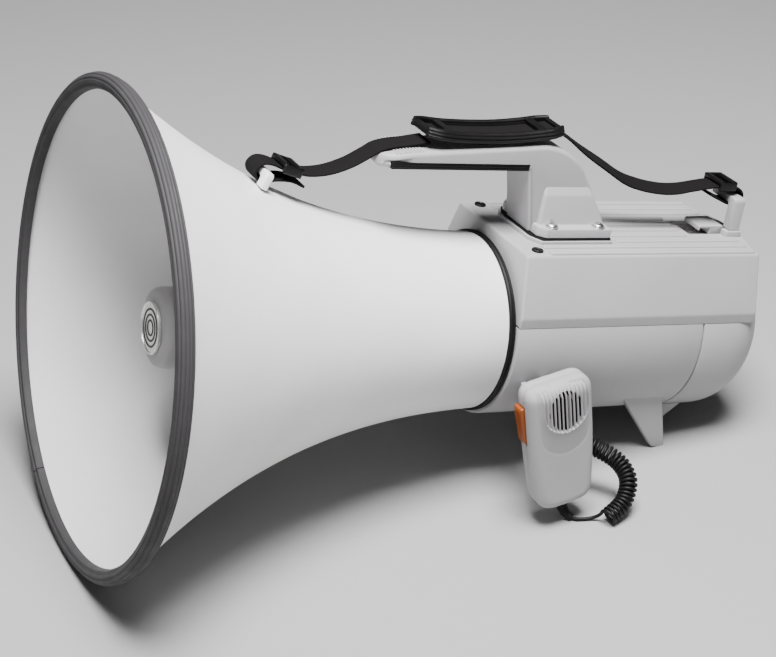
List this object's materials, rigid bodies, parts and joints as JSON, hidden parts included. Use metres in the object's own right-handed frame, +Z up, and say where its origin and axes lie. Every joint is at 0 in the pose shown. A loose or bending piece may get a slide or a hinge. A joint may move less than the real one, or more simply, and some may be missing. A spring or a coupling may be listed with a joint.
{
  "type": "megaphone",
  "caption": "Shoulder megaphone: flared horn on a battery housing with carrying handle, strap, hinged rear door and a hung talk handset on a curly cord.",
  "frame": {"origin": "under the middle of the megaphone without its cord, on the plane the rim and the two feet stand on", "axes": "-Y is the way the horn faces, +X the side the handset hangs on, +Z up; the horn axis is pitched 10.6 degrees up to the front, as it stands"},
  "size_m": [0.2824, 0.4528, 0.2784],
  "materials": {
    "white_shell": "satin moulded plastic",
    "housing_grey": "finely grained moulded plastic",
    "rim_grey": "matt ribbed extrusion",
    "black_rubber": "matt",
    "black_plastic": "satin",
    "black_webbing": "woven polyester",
    "orange_plastic": "satin",
    "steel": "bright",
    "dark_steel": "dull",
    "magnet_iron": "painted",
    "aluminium": "satin",
    "amber_film": "smooth film",
    "cell_jacket": "printed jacket with no wording",
    "board_green": "solder mask"
  },
  "bodies": {
    "megaphone": {"horn_bell": "white_shell", "rim_edging": "rim_grey", "horn_back_plate": "white_shell", "throat_tube": "white_shell", "reflector_cup": "housing_grey", "badge_disc": "aluminium", "neck_ring": "black_rubber", "driver_front_plate": "aluminium", "driver_magnet": "magnet_iron", "driver_diaphragm": "amber_film", "front_strap_hook": "white_shell", "upper_housing": "housing_grey", "lower_housing": "housing_grey", "foot_left": "housing_grey", "foot_right": "housing_grey", "door_hinge_pin": "steel", "latch_floor": "dark_steel", "rear_strap_hook": "housing_grey", "battery_tray": "black_plastic", "battery_contact_plate": "dark_steel", "battery_cell_1": "cell_jacket", "battery_cell_2": "cell_jacket", "battery_cell_3": "cell_jacket", "battery_cell_4": "cell_jacket", "battery_cell_5": "cell_jacket", "battery_cell_6": "cell_jacket", "battery_cell_7": "cell_jacket", "battery_cell_8": "cell_jacket", "amplifier_board": "board_green", "heatsink": "aluminium", "volume_pot": "aluminium", "jack_cover": "black_rubber", "handset_hanger": "housing_grey", "handle": "housing_grey", "grip_insert": "black_rubber", "handle_gasket": "black_rubber", "handle_screw_1": "steel", "handle_screw_2": "steel", "handle_screw_3": "steel", "handle_screw_4": "steel", "housing_screw_left": "black_plastic", "housing_screw_right": "black_plastic", "strap_front": "black_webbing", "strap_rear": "black_webbing", "shoulder_pad": "black_webbing", "tri_glide_front": "black_plastic", "tri_glide_rear": "black_plastic", "cord_gland": "black_rubber", "cord_body_tail": "black_rubber", "cord_coil": "black_rubber", "cord_handset_tail": "black_rubber"},
    "rear_door": {"rear_door": "housing_grey"},
    "door_latch": {"door_latch": "housing_grey"},
    "volume_knob": {"volume_knob": "black_plastic"},
    "siren_switch": {"siren_switch": "orange_plastic"},
    "handset": {"handset_front": "housing_grey", "handset_rear": "housing_grey", "mic_capsule": "dark_steel", "cord_relief": "black_rubber"},
    "ptt_button": {"ptt_button": "orange_plastic"}
  },
  "joints": [
    {"name": "rear_door_hinge", "type": "hinge", "parent": "megaphone", "child": "rear_door", "pos_m": [0, 0.15774, 0.0091], "axis": [-1, 0, 0], "range_deg": [0, 95]},
    {"name": "door_latch_slide", "type": "slide", "parent": "megaphone", "child": "door_latch", "axis": [0, -0.9829, 0.184], "range_m": [0, 0.0055], "stiffness_N_per_m": 300, "springref_m": -0.002},
    {"name": "volume_knob_turn", "type": "hinge", "parent": "megaphone", "child": "volume_knob", "pos_m": [-0.04885, 0.13593, 0.12036], "axis": [0.9518, -0.0564, -0.3014], "range_deg": [0, 300]},
    {"name": "siren_switch_slide", "type": "slide", "parent": "megaphone", "child": "siren_switch", "axis": [0, 0.9829, -0.184], "range_m": [0, 0.006]},
    {"name": "handset_lift_off", "type": "slide", "parent": "megaphone", "child": "handset", "axis": [0, -0.1028, 0.9947], "range_m": [0, 0.06]},
    {"name": "ptt_press", "type": "hinge", "parent": "handset", "child": "ptt_button", "pos_m": [0.0885, 0.03115, 0.05977], "axis": [-1, 0, 0], "range_deg": [0, 4.5], "stiffness_Nm_per_rad": 0.5, "springref_deg": -2.29}
  ]
}
